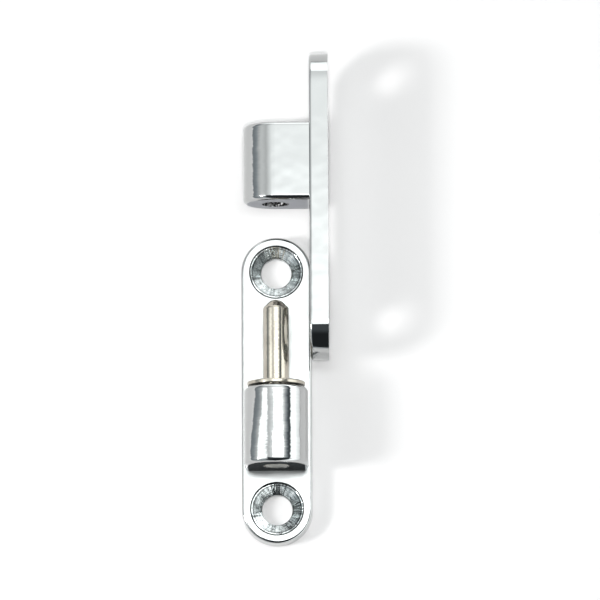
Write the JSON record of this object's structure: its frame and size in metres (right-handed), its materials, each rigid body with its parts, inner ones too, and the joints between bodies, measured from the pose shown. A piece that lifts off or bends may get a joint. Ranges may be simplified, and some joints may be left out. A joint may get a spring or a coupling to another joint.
{
  "type": "lift-off pin hinge",
  "caption": "Small screw-on lift-off hinge for a casement sash or shutter: an obround leaf with a fixed pin and thrust washer, and a matching leaf that drops over the pin and turns on it.",
  "frame": {"origin": "middle of the lower leaf's back face, which lies on the surface", "axes": "+Z out of that surface through the lower plate's front, +Y along the pin towards its free end, +X the side on which the stored upper leaf's plate stands"},
  "size_m": [0.0137, 0.0758, 0.0137],
  "materials": {
    "chrome_plating": "polished",
    "nickel_pin": "turned, satin polish",
    "nickel_washer": "stamped, bright"
  },
  "bodies": {
    "lower_leaf": {"lower_leaf": "chrome_plating", "hinge_pin": "nickel_pin"},
    "thrust_washer": {"thrust_washer": "nickel_washer"},
    "upper_leaf": {"upper_leaf": "chrome_plating"}
  },
  "joints": [
    {"name": "swing", "type": "hinge", "parent": "lower_leaf", "child": "thrust_washer", "pos_m": [0, 0, 0.0082], "axis": [0, -1, 0], "range_deg": [0, 180]},
    {"name": "lift_off", "type": "slide", "parent": "thrust_washer", "child": "upper_leaf", "axis": [0, 1, 0], "range_m": [-0.02778, 0]}
  ]
}
